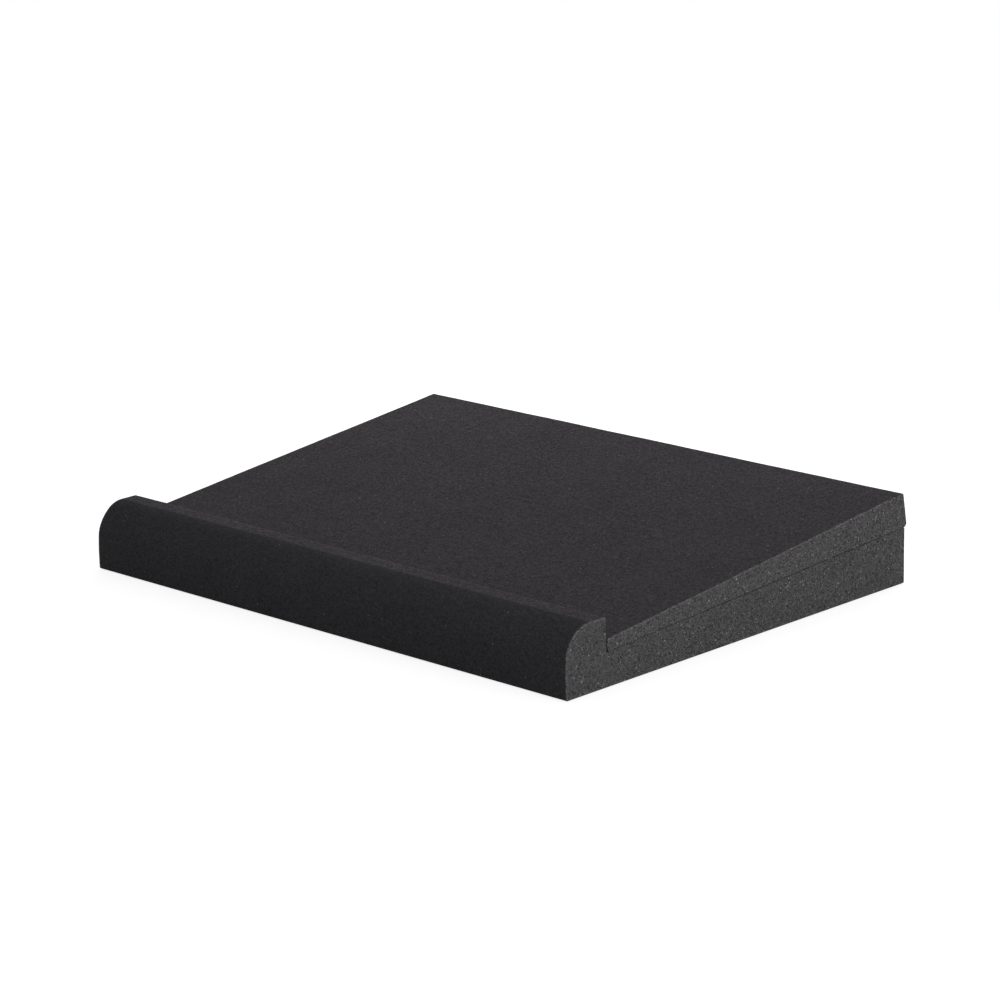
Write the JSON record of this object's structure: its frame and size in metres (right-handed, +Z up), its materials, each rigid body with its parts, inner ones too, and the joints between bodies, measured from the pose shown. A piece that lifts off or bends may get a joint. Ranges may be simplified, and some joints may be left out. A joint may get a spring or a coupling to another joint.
{
  "type": "speaker isolation pad",
  "caption": "Sloping foam pad with a rounded front lip and a loose foam wedge, which tilts a loudspeaker and isolates it from the desk.",
  "frame": {"origin": "centre of the footprint, on the desk face", "axes": "+X along the lip to the right as seen from the front, +Y from the lip to the rear, +Z up from the desk"},
  "size_m": [0.33, 0.2428, 0.046],
  "materials": {
    "charcoal_foam": "matt open-cell polyurethane foam, as cut"
  },
  "bodies": {
    "root": {"base_block": "charcoal_foam", "tilt_wedge": "charcoal_foam"}
  },
  "joints": []
}
